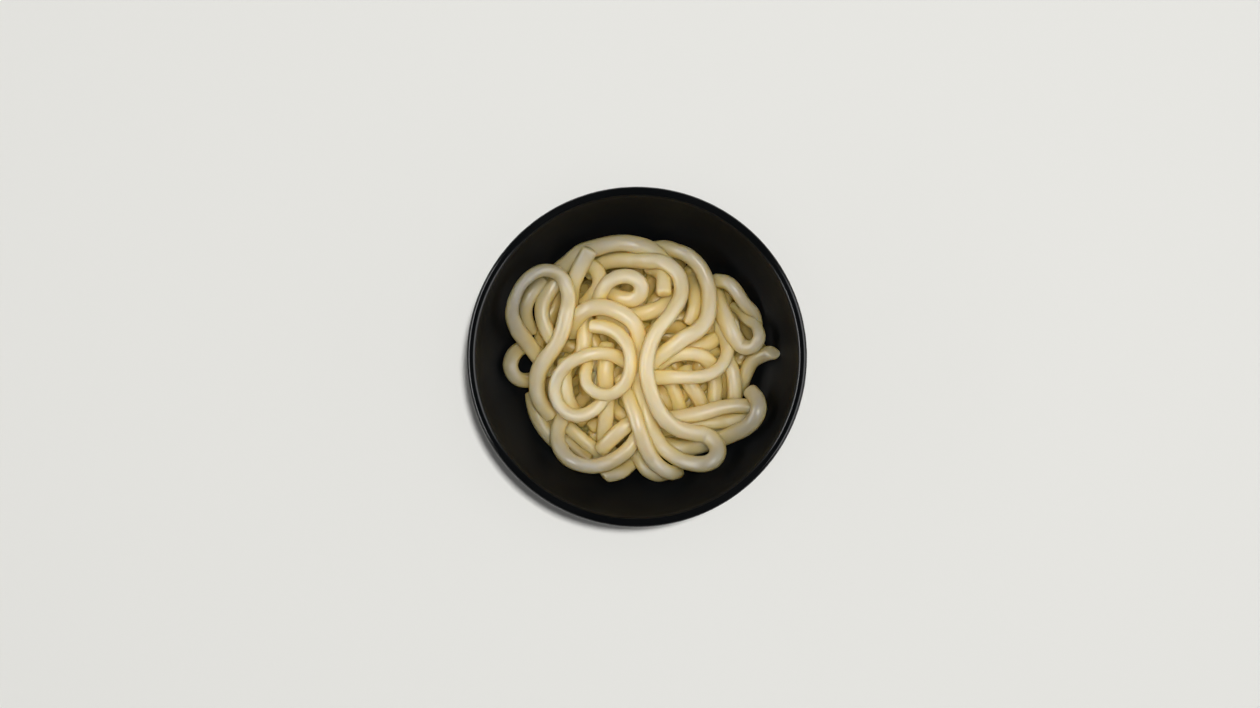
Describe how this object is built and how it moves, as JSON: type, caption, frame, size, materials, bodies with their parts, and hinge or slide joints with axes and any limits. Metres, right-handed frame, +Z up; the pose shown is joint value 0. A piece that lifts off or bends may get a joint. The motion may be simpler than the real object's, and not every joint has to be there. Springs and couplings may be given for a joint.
{
  "type": "bowl of udon noodles",
  "caption": "Round glossy black bowl on a foot ring, filled with a loose heap of thick pale wheat noodles looped over each other and kept clear of the rim.",
  "frame": {"origin": "centre of the foot ring on the table", "axes": "+Z up along the bowl's axis, +Y towards the back of the dish, +X to the right"},
  "size_m": [0.14, 0.14, 0.062],
  "materials": {
    "bowl": "glossy black glaze",
    "noodles": "moist, softly shining boiled dough"
  },
  "bodies": {
    "root": {"bowl": "bowl", "noodles": "noodles"}
  },
  "joints": []
}
